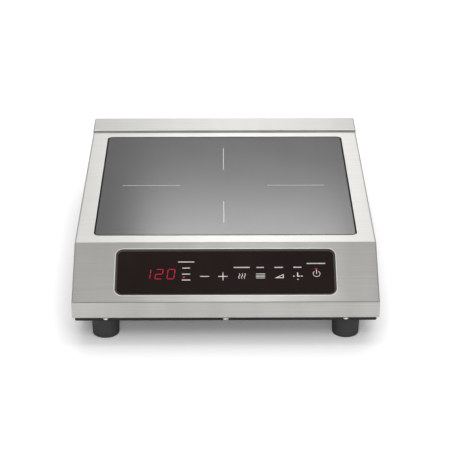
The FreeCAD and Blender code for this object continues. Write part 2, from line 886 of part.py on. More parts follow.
def fan_frame(x):
    """Square fan housing with its motor bridge and bearing on top."""
    bridge_bottom = fan_top - fan_bridge
    frame = pillar(x, fan_y, fan_size, fan_size, z_floor, fan_top)
    frame = frame.cut(drum(x, fan_y, z_floor - OVERCUT, fan_top + OVERCUT, fan_bore_radius))
    solids = [frame, prism(fan_bridge_sides, fan_hub_radius, x, fan_y, bridge_bottom, fan_top)]
    strut = block(0, fan_bore_radius + fan_wall / 2, -fan_strut_width / 2, fan_strut_width / 2,
                  bridge_bottom, fan_top)
    for k in range(fan_struts):
        solids.append(swung(strut, (k + 0.5) * 360 / fan_struts, x, fan_y))
    bearing = drum(x, fan_y, z_floor, fan_top + OVERCUT, fan_shaft_radius + fan_bearing_clearance)
    return joined(*solids).cut(bearing)


def fan_frames():
    return group([fan_frame(sign * fan_x) for sign in SIDES.values()])


def fan_rotor(x):
    """Faceted hub on its shaft with a ring of pitched blades."""
    hub_bottom = fan_hub_top - fan_hub_height
    hub = prism(2 * fan_blades, fan_hub_radius, 0, 0, hub_bottom, fan_hub_top)
    shaft = drum(0, 0, fan_hub_top, fan_top, fan_shaft_radius)
    half_chord = blade_chord / 2
    tip = math.sqrt(fan_tip_radius**2 - half_chord**2)
    blade = block(fan_hub_radius - fan_blade_sink, tip, -half_chord, half_chord,
                  -blade_thickness / 2, blade_thickness / 2)
    blade.rotate(ORIGIN, X_AXIS, blade_pitch)
    blade = blade.translated(vec(0, 0, (hub_bottom + fan_hub_top) / 2))
    blades = [swung(blade, k * 360 / fan_blades, 0, 0) for k in range(fan_blades)]
    return joined(hub, shaft, *blades).translated(vec(x, fan_y, 0))


# Electronics


def power_board():
    return block(power_x0, power_x1, power_y0, power_y1, board_bottom, board_top)


def filter_board():
    return block(filter_x0, filter_x1, filter_y0, filter_y1, board_bottom, board_top)


def heatsink():
    """Finned extrusion, its fins along the air stream."""
    base_top = sink_bottom + sink_base
    fin_top = base_top + sink_fin_height
    solids = [block(sink_x0, sink_x1, sink_y0, sink_y1, sink_bottom, base_top)]
    pitch = (sink_width - sink_fin_thickness) / (sink_fins - 1)
    for k in range(sink_fins):
        x = sink_x0 + k * pitch
        solids.append(block(x, x + sink_fin_thickness, sink_y0, sink_y1, base_top, fin_top))
    return joined(*solids)


def under_sink(place, width, depth):
    """Package between the power board and the heatsink, a number of places from the middle."""
    x = (sink_x0 + sink_x1) / 2 + place * igbt_spacing
    return pillar(x, (sink_y0 + sink_y1) / 2, width, depth, board_top, sink_bottom)


def igbts():
    return group([under_sink(place, igbt_width, igbt_depth) for place in (0, 1)])


def bridge_rectifier():
    return under_sink(-1, rectifier_width, rectifier_depth)


def film_place(column, row):
    """Middle of a place in the grid at the power board's back left corner."""
    x = power_x0 + film_cap_inset + film_cap_width / 2 + column * (film_cap_width + film_cap_gap)
    y = power_y1 - film_cap_inset - film_cap_depth / 2 - row * (film_cap_depth + film_cap_gap)
    return x, y


def film_capacitor(column, row):
    x, y = film_place(column, row)
    return pillar(x, y, film_cap_width, film_cap_depth, board_top, board_top + film_cap_height)


def dc_link_capacitor():
    return film_capacitor(0, 1)


def resonant_capacitors():
    return group([film_capacitor(column, 0) for column in (0, 1)])


def core_choke(x, y, width, depth, height):
    """Winding between the two end plates of its core, on the board."""
    plates = [block(x - width / 2, x + width / 2, y0, y0 + choke_core, board_top, board_top + height)
              for y0 in (y - depth / 2, y + depth / 2 - choke_core)]
    winding = pillar(x, y, width - choke_core, depth, board_top, board_top + height - choke_core / 2)
    return joined(winding, *plates)


def power_choke():
    x, y = film_place(1, 1)
    return core_choke(x + (power_choke_width - film_cap_width) / 2, y, power_choke_width, power_choke_depth,
                      power_choke_height)


def filter_choke():
    y = filter_choke_y + filter_choke_depth / 2
    return core_choke(filter_x, y, filter_choke_width, filter_choke_depth, filter_choke_height)


def filter_capacitor():
    y = filter_cap_y + filter_cap_depth / 2
    return pillar(filter_x, y, filter_cap_width, filter_cap_depth, board_top, board_top + filter_cap_height)


def mains_fuse():
    y = fuse_y + fuse_length / 2
    return pillar(filter_x, y, fuse_width, fuse_length, board_top, board_top + fuse_height)


def terminal_block():
    return pillar(filter_x, terminal_block_y + terminal_block_depth / 2, terminal_block_width,
                  terminal_block_depth, z_floor, z_floor + terminal_block_height)


# Sockets and leads


def fan_lead_x(sign):
    return sign * (fan_x - fan_size / 2 + fan_lead_inset)


def socket(x, y, z0=None):
    low = board_top if z0 is None else z0
    return pillar(x, y, socket_width, socket_depth, low, low + socket_height)


def board_sockets():
    """Sockets of the fans, ribbon, sensor and mains leads."""
    row = [ribbon_x, mains_socket_x] + [fan_lead_x(sign) for sign in SIDES.values()]
    sockets = [socket(x, socket_row) for x in row]
    sockets.append(socket(0, y_glass))
    sockets += [socket(filter_x, y) for y in (link_socket_y, inlet_socket_y)]
    sockets.append(on_slope(socket(ribbon_x, 0, control_back - socket_height)))
    return group(sockets)


def fan_leads():
    y0 = fan_y + fan_size / 2
    y1 = socket_row - socket_depth / 2
    z0 = socket_middle - lead_thickness / 2
    return group([pillar(fan_lead_x(sign), (y0 + y1) / 2, lead_width, y1 - y0, z0, z0 + lead_thickness)
                  for sign in SIDES.values()])


def sensor_lead():
    return pillar(0, y_glass, lead_width, lead_thickness, board_top + socket_height, coil_bottom)


def control_ribbon():
    """Flat ribbon from the control board down to the base and between the fans to the power board."""
    start = slope_placement().multVec(vec(ribbon_x, 0, control_back - socket_height))
    away = slope_placement().Rotation.multVec(-Z_AXIS)
    floor_z = z_floor + lead_thickness / 2
    landing = start + away * ((floor_z - start.z) / away.z)
    end = vec(ribbon_x, socket_row - socket_depth / 2, socket_middle)
    top = end - Y_AXIS * ribbon_lead_in
    rise = vec(ribbon_x, top.y - (top.z - floor_z), floor_z)
    return flat_lead([start, landing, rise, top, end], ribbon_bend, ribbon_width, lead_thickness, X_AXIS)


def mains_leads():
    """Leads from the terminal block to the filter board, and from there to the power board."""
    z = socket_middle
    y0 = inlet_socket_y + socket_depth / 2
    leads = []
    for sign in SIDES.values():
        x = filter_x + sign * mains_lead_spacing / 2
        leads.append(pillar(x, (y0 + terminal_block_y) / 2, lead_thickness, terminal_block_y - y0,
                            z - lead_width / 2, z + lead_width / 2))
    start = vec(filter_x, link_socket_y - socket_depth / 2, z)
    end = vec(mains_socket_x + socket_width / 2, socket_row, z)
    link = [start, vec(start.x, end.y, z), end]
    leads.append(flat_lead(link, lead_bend, lead_width, lead_thickness, Z_AXIS))
    return group(leads)


# Cord gland


def gland_body():
    """Hexagonal collar outside the wall with a barrel through it."""
    inner_end = -sheet - gland_inside
    outer_end = gland_reach - 2 * gland_cap_wall
    collar = prism(6, gland_hex_radius, 0, 0, 0, gland_hex_depth)
    barrel = prism(gland_thread_sides, gland_thread_radius, 0, 0, inner_end, outer_end)
    bore = drum(0, 0, inner_end - OVERCUT, outer_end + OVERCUT, gland_bore)
    return at_gland(joined(collar, barrel).cut(bore))


def barrel_hole(z0, z1):
    """Room for the barrel in the pieces that screw onto it."""
    return prism(gland_thread_sides, gland_thread_radius + gland_clearance, 0, 0, z0, z1)


def gland_cap():
    """Hexagonal dome nut over the barrel's outer end."""
    face = gland_reach - gland_cap_wall
    end_radius = gland_cap_radius - gland_cap_wall
    nut = prism(6, gland_cap_radius, 0, 0, gland_hex_depth, face)
    outlines = [polygon(6, gland_cap_radius, 0, 0, face), polygon(6, end_radius, 0, 0, gland_reach)]
    dome = Part.makeLoft(outlines, True, True)
    mouth = drum(0, 0, face - OVERCUT, gland_reach + OVERCUT, gland_bore + gland_clearance)
    return at_gland(joined(nut, dome).cut([barrel_hole(gland_hex_depth - OVERCUT, face), mouth]))


def gland_lock_nut():
    low = -sheet - gland_nut_depth
    nut = prism(6, gland_hex_radius, 0, 0, low, -sheet)
    return at_gland(nut.cut(barrel_hole(low - OVERCUT, 0)))


# Every node by its name


def nodes():
    makers = [top_cover, rear_hood, base_pan, rubber_feet, base_screws, glass_plate, glass_seal,
              glass_support_frame, control_bezel, control_glass, control_carrier, control_board,
              control_clips, display_module, touch_pads, indicator_leds, buzzer, insulation_pad,
              induction_coil, coil_carrier, ferrite_bars, sensor_holder, thermistor, coil_posts,
              coil_straps, coil_terminals, fan_frames, power_board, filter_board, heatsink, igbts,
              bridge_rectifier, dc_link_capacitor, resonant_capacitors, power_choke, filter_choke,
              filter_capacitor, mains_fuse, terminal_block, board_sockets, fan_leads, sensor_lead,
              control_ribbon, mains_leads, gland_body, gland_cap, gland_lock_nut]
    made = {maker.__name__: maker() for maker in makers}
    for side, sign in SIDES.items():
        made[f"fan_rotor_{side}"] = fan_rotor(sign * fan_x)
    return made


def main():
    os.makedirs("parts", exist_ok=True)
    for name, shape in nodes().items():
        shape.exportStep(f"parts/{name}.step")


main()
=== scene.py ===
import json
import math
import bmesh
import bpy
from mathutils import Matrix, Vector

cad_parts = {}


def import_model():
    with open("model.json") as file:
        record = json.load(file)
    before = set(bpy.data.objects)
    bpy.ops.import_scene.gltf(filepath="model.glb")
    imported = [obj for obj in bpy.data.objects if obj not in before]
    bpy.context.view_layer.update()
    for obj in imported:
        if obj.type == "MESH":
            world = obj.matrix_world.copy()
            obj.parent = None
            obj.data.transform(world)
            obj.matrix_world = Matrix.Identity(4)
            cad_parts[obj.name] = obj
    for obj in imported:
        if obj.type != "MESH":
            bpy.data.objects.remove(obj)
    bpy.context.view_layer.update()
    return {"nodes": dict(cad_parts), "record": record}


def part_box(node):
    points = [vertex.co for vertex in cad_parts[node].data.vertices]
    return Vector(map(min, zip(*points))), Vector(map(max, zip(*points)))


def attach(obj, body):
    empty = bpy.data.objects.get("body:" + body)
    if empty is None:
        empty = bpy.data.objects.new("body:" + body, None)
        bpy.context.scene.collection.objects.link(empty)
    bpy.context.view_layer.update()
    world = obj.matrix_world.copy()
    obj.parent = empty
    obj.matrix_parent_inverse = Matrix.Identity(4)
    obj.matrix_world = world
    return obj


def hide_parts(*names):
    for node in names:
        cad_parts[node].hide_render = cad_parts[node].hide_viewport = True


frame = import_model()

# Looks of a counter-top induction hot plate, in metres, in the frame of its CAD model.

MM = 0.001
BODY = "body"

# Camera, from the square cooking glass as the photograph shows it
CAMERA_PLACE = (-0.0057, -1.9777, 0.9515)
CAMERA_PITCH = math.radians(24.87)
CAMERA_YAW = math.radians(0.34)
CAMERA_LENS = 139.5
CAMERA_SENSOR = 36.0

# Sloped front with the touch panel
SLOPE_DROP = 40 * MM
SLOPE_RUN = 70 * MM
SLOPE = math.atan2(SLOPE_DROP, SLOPE_RUN)
SLOPE_MIDDLE = 40.3 * MM
HALF_GLASS = 1 * MM

# Prints
PRINT_LIFT = 0.02 * MM
PRINT_DEPTH = 0.06 * MM
LINE = 0.72 * MM
THIN_LINE = 0.52 * MM

# Cross marks, in millimetres from the middle of the cooking glass
MARK_WIDTH = 0.68 * MM
MARK_SPANS = {
    "rear": ((-1.7, 41.6), (-1.7, 110.9)),
    "front": ((-1.7, -54.3), (-1.7, -116.2)),
    "left": ((-123.7, -7.4), (-54.1, -7.4)),
    "right": ((50.8, -7.4), (119.9, -7.4)),
}

# Display digits, with their places in millimetres across the panel and down from its upper fold
DIGIT_WIDTH = 8.6 * MM
DIGIT_HEIGHT = 13.7 * MM
DIGIT_STROKE = 0.95 * MM
DIGIT_GAP = 0.3 * MM
DIGIT_SLANT = 0.12
DIGIT_MIDDLES = {-87.6: "1", -74.1: "2", -60.8: "0"}
DIGIT_DOWN = 42.6
SEGMENTS = {"0": "abcdef", "1": "bc", "2": "abged"}

# Touch symbols, with their places in millimetres across the panel and down from its upper fold
MINUS_ENDS = ((-28.4, 45.7), (-18.4, 45.7))
PLUS_MIDDLE = (-3.0, 45.8)
PLUS_SIZE = 10.5 * MM
WAVE_PLACES = (15.1, 18.2, 21.3)
WAVE_SWING = 0.8
WAVE_TOP = 41.8
WAVE_HEIGHT = 7.0
WAVE_STEPS = 12
BAR_ENDS = (33.7, 43.8)
BAR_TOP = 42.4
BAR_STEP = 1.9
BAR_COUNT = 4
WEDGE_CORNERS = ((54.8, 48.2), (64.5, 48.2), (64.5, 42.9))
HAND_CORNERS = ((79.6, 40.9), (79.6, 46.2), (82.6, 46.2), (82.6, 45.3), (80.6, 45.3), (80.6, 40.9))
HOUR_DOTS = ((75.9, 45.7), (80.2, 50.0))
HOUR_DOT_RADIUS = 0.7 * MM
HOUR_DASH = ((83.6, 45.7), (85.7, 45.7))
HOUR_DASH_WIDTH = 1.0 * MM
POWER_MIDDLE = (101.3, 42.5)
POWER_RADIUS = 3.8 * MM
POWER_SPAN = (125, 415)
POWER_BAR_TOP = 37.1

# Dashes in the place of captions: across, down and length in millimetres
DASHES = (
    (-44.0, 26.3, 18.0),
    (-44.0, 34.5, 8.8),
    (-44.0, 42.6, 9.2),
    (-44.0, 50.5, 9.6),
    (17.9, 33.8, 18.2),
    (38.5, 33.9, 8.4),
    (59.2, 33.9, 9.2),
    (80.1, 33.8, 9.2),
    (100.9, 28.7, 20.7),
)
DASH_HEIGHT = 1.3 * MM
DASH_CORNER = 0.4 * MM

# Lamps of the mode and the power key
LAMP_MIDDLES = ((-46.5, 46.8), (100.9, 36.3))
LAMP_RADIUS = 1.3 * MM
LAMP_DEPTH = 2 * PRINT_DEPTH

# Steel lips around the panel window and the glass opening
WINDOW_WIDTH = 246.0 * MM
WINDOW_HEIGHT = 62.02 * MM
WINDOW_CORNER = 8.5 * MM
WINDOW_SINK = 1.0 * MM
WINDOW_LIP_WIDTH = 0.9 * MM
WINDOW_LIP_RISE = 0.3 * MM
GLASS_CORNER = 7.0 * MM
GLASS_LIP_WIDTH = 0.7 * MM
GLASS_LIP_RISE = 0.15 * MM
LIP_STEPS = 6
LIP_CORNER_STEPS = 10

# Front fold of the hood and lower fold of the cover, with the drawn span of each round in degrees
HOOD_RADIUS = 1.5 * MM
HOOD_SPAN = (110, 160)
COVER_RADIUS = 2.0 * MM
COVER_SPAN = (130, 163)
SKIRT_TOP = 55.0 * MM
FOLD_STEPS = 8

# Rubber feet, with the shallow cup underneath in shares of the tread
FOOT_RADIUS = 16.2 * MM
FOOT_TAPER = 1.2 * MM
FOOT_HEIGHT = 32.0 * MM
FOOT_ROUND = 1.6 * MM
FOOT_ROUND_STEPS = 6
FOOT_TOP_ROUND = 0.6 * MM
FOOT_TOP_STEPS = 3
STEM_RADIUS = 6.0 * MM
CUP_DEPTH = 1.5 * MM
CUP_MIDDLE = 0.3
CUP_FLOOR = 0.34
CUP_EDGE = 0.4

# Front screws
SCREW_HEAD_RADIUS = 3.0 * MM
SCREW_HEAD_HEIGHT = 3.3 * MM
SCREW_DOME = 1.4 * MM
SCREW_DOME_FLAT = 0.3 * MM
SCREW_DOME_STEPS = 6
SCREW_SHANK = 1.5 * MM
SCREW_TIP = 1.0 * MM
SCREW_TIP_SHARE = 0.6
SCREW_STEPS = 36
RECESS_LENGTH = 3.4 * MM
RECESS_WIDTH = 0.9 * MM
RECESS_DEPTH = 1.2 * MM
RECESS_START = -1.0 * MM
RECESS_TAPER = 0.45

# Grain of the materials, with scales in waves per metre on each axis
FINE = (900, 900, 900)
COARSE = (300, 300, 300)
RIBBED = (900, 20, 20)
BRUSH_ACROSS = (7, 1900, 1900)
BRUSH_ALONG = (1900, 7, 1900)
BRUSH_BANDS = (26, 5, 5)
BAND_SHARE = 0.4
GREASE = (18, 18, 18)
GLOW_GRAIN = (600, 600, 600)
NOISE_SPAN = (0.3, 0.7)
RELIEF = 0.05 * MM
BRUSH_RELIEF = 0.02 * MM
BRUSH_BUMP = 0.08
GLOW_DIM = 0.8

# Floor and world
FLOOR_SIZE = 12
FLOOR_LEVEL = -0.1 * MM
FLOOR_WHITE = 0.95
FLOOR_MIRRORED = 0.735
FLOOR_LIFT = 0.15
SKY_LEVELS = ((0.26, 0.5), (0.5, 1.0), (0.95, 0.46))
SKY_FILL = 1.65
FLANK_SHIFT = 0.05
FLANK_SPAN = (0.25, 0.6)
FLANK_FILL = 0.04
FLANK_MIRRORED = 0.45

# Soft lights
BACK_LIGHT = {
    "place": (0.065, 2.2, 1.35),
    "target": (0.0, 0.0, 0.1),
    "size": (0.56, 0.38),
    "power": 3.7,
}
FRONT_LIGHT = {
    "place": (0.0, -2.2, 2.0),
    "target": (0.0, -0.3, 0.0),
    "size": (1.6, 0.8),
    "power": 17.0,
    "mirrored": False,
}
SLOPE_LIGHT = {
    "place": (0.03, -0.28, 0.58),
    "target": (0.03, -0.26, 0.0),
    "size": (0.14, 0.06),
    "power": 0.235,
}


# Places on the part


def corner(node, end):
    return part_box(node)[end]


def centre(node):
    low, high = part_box(node)
    return (Vector(low) + Vector(high)) / 2


def slope_matrix():
    """Panel drawings to the frame: x across, y up the slope, z out of the glass."""
    turn = Matrix.Rotation(SLOPE, 4, "X")
    front = centre("control_glass") + turn @ Vector((0, 0, HALF_GLASS + PRINT_LIFT))
    return Matrix.Translation(front) @ turn


def down(x, v):
    """Point on the panel, in millimetres across it and down from its upper fold."""
    return Vector((x * MM, SLOPE_MIDDLE - v * MM))


# Outlines


def ribbon(points, width):
    """Outline of a line of even width along points."""
    left = []
    right = []
    for k, point in enumerate(points):
        ahead = points[min(k + 1, len(points) - 1)]
        behind = points[max(k - 1, 0)]
        along = (ahead - behind).normalized()
        side = Vector((-along.y, along.x)) * (width / 2)
        left.append(point + side)
        right.append(point - side)
    return left + right[::-1]


def circle(radius, steps):
    """Points of a circle about the origin."""
    angles = [2 * math.pi * k / steps for k in range(steps)]
    return [(radius * math.cos(angle), radius * math.sin(angle)) for angle in angles]


def disc(middle, radius, steps=24):
    return [middle + Vector(point) for point in circle(radius, steps)]


def arc(middle, radius, start, end, steps=28):
    """Points along an arc, with its ends in degrees."""
    angles = [math.radians(start + (end - start) * k / steps) for k in range(steps + 1)]
    return [middle + Vector((math.cos(angle), math.sin(angle))) * radius for angle in angles]


def rounded_bar(middle, width, height, radius, steps=5):
    """Outline of a bar with round corners."""
    points = []
    for k, (sx, sy) in enumerate(((1, 1), (-1, 1), (-1, -1), (1, -1))):
        hub = middle + Vector((sx * (width / 2 - radius), sy * (height / 2 - radius)))
        points += arc(hub, radius, 90 * k, 90 * (k + 1), steps)
    return points


def plus_outline(size, width):
    """Outline of a plus sign about the origin."""
    half = size / 2
    thin = width / 2
    stretch = [(half, -thin), (half, thin), (thin, thin)]
    points = []
    for _ in range(4):
        points += stretch
        stretch = [(-y, x) for x, y in stretch]
    return points


def triangle_frame(points, width):
    """Outer and inner outline of a triangle drawn with lines of even width."""
    sides = [(points[(k + 1) % 3] - points[(k + 2) % 3]).length for k in range(3)]
    hub = sum((side * point for side, point in zip(sides, points)), Vector((0, 0))) / sum(sides)
    base = points[1] - points[0]
    height = points[2] - points[0]
    inradius = abs(base.x * height.y - base.y * height.x) / sum(sides)
    inner = [hub + (point - hub) * (1 - width / inradius) for point in points]
    return points, inner


# Closed meshes


def wall(bm, low, high):
    """Faces between two closed rings of vertices."""
    faces = []
    count = len(low)
    for k in range(count):
        ahead = (k + 1) % count
        faces.append(bm.faces.new((low[k], low[ahead], high[ahead], high[k])))
    return faces


def vertex_rings(bm, loops):
    return [[bm.verts.new(point) for point in loop] for loop in loops]


def swept_ring(bm, loops):
    """Faces between closed loops of points, the last joined to the first."""
    rings = vertex_rings(bm, loops)
    for k, ring in enumerate(rings):
        wall(bm, ring, rings[(k + 1) % len(rings)])


def capped(bm, loops):
    """Closed solid through loops of points, from its bottom to its top. Gives the faces of its wall."""
    rings = vertex_rings(bm, loops)
    faces = []
    for low, high in zip(rings, rings[1:]):
        faces += wall(bm, low, high)
    bm.faces.new(rings[0][::-1])
    bm.faces.new(rings[-1])
    return faces


def turned(bm, profile, place, steps=48):
    """Solid turned about an upright axis from a profile of radius and height, from the bottom to the top."""
    loops = []
    for radius, height in profile:
        loops.append([place + Vector((x, y, height)) for x, y in circle(radius, steps)])
    for face in capped(bm, loops):
        face.smooth = True


def at_height(outline, height):
    return [(point[0], point[1], height) for point in outline]


def linked(bm, name):
    """Object in the scene out of a finished bmesh."""
    mesh = bpy.data.meshes.new(name)
    bm.to_mesh(mesh)
    bm.free()
    piece = bpy.data.objects.new(name, mesh)
    bpy.context.scene.collection.objects.link(piece)
    return piece


def finished(bm, name, material):
    """Piece on the body out of a finished bmesh."""
    piece = linked(bm, name)
    piece.data.materials.append(material)
    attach(piece, BODY)
    return piece


def placed(bm, place):
    """Turn the faces of a drawn bmesh outwards and put it in its place."""
    bmesh.ops.recalc_face_normals(bm, faces=bm.faces)
    bmesh.ops.transform(bm, matrix=place, verts=bm.verts)


def slab(outlines, depth, place, name, material, frames=()):
    """Thin closed prints from flat outlines, and from frames of an outer and an inner outline."""
    bm = bmesh.new()
    for outer, inner in frames:
        levels = ((outer, 0), (outer, depth), (inner, depth), (inner, 0))
        swept_ring(bm, [at_height(outline, height) for outline, height in levels])
    for outline in outlines:
        capped(bm, [at_height(outline, 0), at_height(outline, depth)])
    placed(bm, place)
    finished(bm, name, material)


# Shader nodes


def node_material(name):
    material = bpy.data.materials.new(name)
    material.use_nodes = True
    return material, material.node_tree.nodes, material.node_tree.links


def shader_of(nodes):
    return next(node for node in nodes if node.type == "BSDF_PRINCIPLED")


def feed(links, socket, value):
    """Set a socket to a number, or link it to the output of another node."""
    if isinstance(value, (int, float)):
        socket.default_value = value
    else:
        links.new(value, socket)


def calc(nodes, links, operation, first, second=0.0):
    node = nodes.new("ShaderNodeMath")
    node.operation = operation
    feed(links, node.inputs[0], first)
    feed(links, node.inputs[1], second)
    return node.outputs["Value"]


def ranged(nodes, links, value, low, high, span=(0.0, 1.0), interpolation="LINEAR"):
    """A value mapped from a span to the range from low to high."""
    node = nodes.new("ShaderNodeMapRange")
    node.interpolation_type = interpolation
    node.inputs["From Min"].default_value = span[0]
    node.inputs["From Max"].default_value = span[1]
    feed(links, node.inputs["To Min"], low)
    feed(links, node.inputs["To Max"], high)
    links.new(value, node.inputs["Value"])
    return node.outputs["Result"]


def mixed(nodes, links, factor, first, second):
    """Two values mixed by a number or by a third value."""
    mix = nodes.new("ShaderNodeMix")
    feed(links, mix.inputs["Factor"], factor)
    links.new(first, mix.inputs["A"])
    links.new(second, mix.inputs["B"])
    return mix.outputs["Result"]


def noise(nodes, links, scale, detail=4.0, rough=0.5):
    """Noise over the object's own coordinates, stretched by a scale per axis."""
    coords = nodes.new("ShaderNodeTexCoord")
    mapping = nodes.new("ShaderNodeMapping")
    mapping.inputs["Scale"].default_value = scale
    texture = nodes.new("ShaderNodeTexNoise")
    texture.inputs["Scale"].default_value = 1.0
    texture.inputs["Detail"].default_value = detail
    texture.inputs["Roughness"].default_value = rough
    links.new(coords.outputs["Object"], mapping.inputs["Vector"])
    links.new(mapping.outputs["Vector"], texture.inputs["Vector"])
    return texture.outputs["Fac"]


def tint(nodes, links, value, dark, light):
    """A noise value mapped to a colour between two."""
    ramp = nodes.new("ShaderNodeValToRGB")
    for stop, position, colour in zip(ramp.color_ramp.elements, NOISE_SPAN, (dark, light)):
        stop.position = position
        stop.color = (*colour, 1)
    links.new(value, ramp.inputs["Fac"])
    return ramp.outputs["Color"]


def coloured(nodes, links, value, dark, light, rough):
    """Colour and roughness of the shader from one noise value."""
    shader = shader_of(nodes)
    links.new(tint(nodes, links, value, dark, light), shader.inputs["Base Color"])
    links.new(ranged(nodes, links, value, *rough, NOISE_SPAN), shader.inputs["Roughness"])


def bumped(nodes, links, value, strength, distance):
    """Relief of the shader from a noise value."""
    bump = nodes.new("ShaderNodeBump")
    bump.inputs["Strength"].default_value = strength
    bump.inputs["Distance"].default_value = distance
    links.new(value, bump.inputs["Height"])
    links.new(bump.outputs["Normal"], shader_of(nodes).inputs["Normal"])


# Kinds of material


def surface(name, dark, light, rough, grain, metallic=0.0, bump=0.15, specular=0.5):
    """Material with noise in its colour, roughness and relief. grain is the noise scale on each axis."""
    material, nodes, links = node_material(name)
    shader = shader_of(nodes)
    shader.inputs["Metallic"].default_value = metallic
    shader.inputs["Specular IOR Level"].default_value = specular
    value = noise(nodes, links, grain)
    coloured(nodes, links, value, dark, light, rough)
    bumped(nodes, links, value, bump, RELIEF)
    return material


def brush_lines(nodes, links):
    """Lines across the part on its top and front, and along it on its sides."""
    across = noise(nodes, links, BRUSH_ACROSS, 5.0, 0.6)
    along = noise(nodes, links, BRUSH_ALONG, 5.0, 0.6)
    normal = nodes.new("ShaderNodeNewGeometry")
    split = nodes.new("ShaderNodeSeparateXYZ")
    links.new(normal.outputs["True Normal"], split.inputs["Vector"])
    sideways = calc(nodes, links, "ABSOLUTE", split.outputs["X"])
    return mixed(nodes, links, sideways, across, along)


def brushed(name, dark, light, rough):
    """Brushed steel with faint broad bands."""
    material, nodes, links = node_material(name)
    shader_of(nodes).inputs["Metallic"].default_value = 1.0
    lines = brush_lines(nodes, links)
    bands = noise(nodes, links, BRUSH_BANDS, 2.0)
    value = mixed(nodes, links, BAND_SHARE, lines, bands)
    coloured(nodes, links, value, dark, light, rough)
    bumped(nodes, links, value, BRUSH_BUMP, BRUSH_RELIEF)
    return material


def polished_glass(name, dark, light, rough, specular):
    """Dark glass with a faint cloud of grease in its gloss."""
    material, nodes, links = node_material(name)
    shader_of(nodes).inputs["Specular IOR Level"].default_value = specular
    value = noise(nodes, links, GREASE, 5.0, 0.6)
    coloured(nodes, links, value, dark, light, rough)
    return material


def glowing(name, colour, glow):
    """Lit display colour with a slightly uneven glow."""
    material, nodes, links = node_material(name)
    shader = shader_of(nodes)
    value = noise(nodes, links, GLOW_GRAIN, 2.0)
    dim = tuple(GLOW_DIM * level for level in colour)
    lit = tint(nodes, links, value, dim, colour)
    links.new(lit, shader.inputs["Base Color"])
    links.new(lit, shader.inputs["Emission Color"])
    shader.inputs["Emission Strength"].default_value = glow
    shader.inputs["Specular IOR Level"].default_value = 0.1
    shader.inputs["Roughness"].default_value = 0.4
    return material


# Materials of the slots in the record: dark and light colour, range of roughness, grain

materials = {}


def steel(slot, *looks):
    materials[slot] = brushed(slot, *looks)


def glass(slot, *looks):
    materials[slot] = polished_glass(slot, *looks)


def plain(slot, *looks, **extras):
    materials[slot] = surface(slot, *looks, **extras)


def grey(level):
    return (level, level, level)


steel("brushed_steel", (0.548, 0.542, 0.521), (0.745, 0.739, 0.714), (0.38, 0.46))
plain("zinc_steel", (0.5, 0.5, 0.48), (0.66, 0.66, 0.63), (0.35, 0.5), COARSE, metallic=1.0)
# The screws' near-white, almost matte steel is a painted highlight standing in for the glint of polished
# heads.
plain("screw_steel", (0.88, 0.88, 0.87), (0.97, 0.97, 0.96), (0.3, 0.4), FINE, metallic=0.1, bump=0.05)
glass("cooking_glass", grey(0.012), grey(0.016), (0.18, 0.2), 0.46)
glass("panel_glass", (0.01, 0.0055, 0.005), (0.014, 0.0078, 0.0072), (0.08, 0.12), 0.15)
plain("seal_silicone", grey(0.004), grey(0.009), (0.6, 0.75), FINE, specular=0.08)
plain("foot_rubber", grey(0.031), grey(0.049), (0.55, 0.7), FINE)
plain("base_plastic", grey(0.015), grey(0.024), (0.45, 0.6), FINE, specular=0.2)
plain("bezel_plastic", (0.038, 0.035, 0.033), (0.054, 0.05, 0.047), (0.35, 0.45), FINE, specular=0.4)
plain("carrier_plastic", grey(0.05), grey(0.08), (0.5, 0.6), COARSE)
plain("board_laminate", (0.02, 0.12, 0.05), (0.04, 0.18, 0.08), (0.35, 0.5), COARSE)
plain("display_body", (0.04, 0.03, 0.03), (0.06, 0.05, 0.05), (0.3, 0.4), COARSE)
plain("touch_foam", grey(0.06), grey(0.1), (0.7, 0.85), FINE)
plain("led_lens", (0.6, 0.05, 0.04), (0.75, 0.08, 0.06), (0.2, 0.3), FINE)
plain("black_plastic", grey(0.02), grey(0.035), (0.45, 0.6), COARSE)
plain("socket_plastic", (0.7, 0.68, 0.6), (0.8, 0.78, 0.7), (0.3, 0.45), COARSE)
plain("insulation_felt", (0.7, 0.68, 0.62), (0.86, 0.84, 0.78), (0.85, 0.95), FINE, bump=0.5)
plain("coil_copper", (0.45, 0.2, 0.09), (0.65, 0.32, 0.15), (0.3, 0.45), FINE, metallic=1.0, bump=0.4)
plain("ferrite", grey(0.07), grey(0.11), (0.6, 0.75), FINE)
plain("aluminium", (0.62, 0.63, 0.64), (0.76, 0.77, 0.78), (0.35, 0.5), COARSE, metallic=1.0)
plain("brass", (0.6, 0.44, 0.18), (0.74, 0.56, 0.26), (0.25, 0.4), COARSE, metallic=1.0)
plain("sensor_silicone", (0.5, 0.1, 0.07), (0.62, 0.16, 0.12), (0.55, 0.7), FINE)
plain("lead_sleeve", (0.5, 0.46, 0.38), (0.62, 0.58, 0.5), (0.5, 0.65), FINE)
plain("ribbon_grey", (0.36, 0.36, 0.37), (0.46, 0.46, 0.47), (0.45, 0.6), RIBBED)
plain("capacitor_case", (0.06, 0.1, 0.28), (0.1, 0.16, 0.4), (0.3, 0.45), COARSE)
plain("choke_winding", (0.4, 0.18, 0.08), (0.58, 0.28, 0.13), (0.3, 0.45), FINE, metallic=1.0)
plain("fan_plastic", grey(0.014), grey(0.025), (0.45, 0.6), COARSE)
plain("gland_nylon", grey(0.022), grey(0.035), (0.4, 0.55), COARSE)
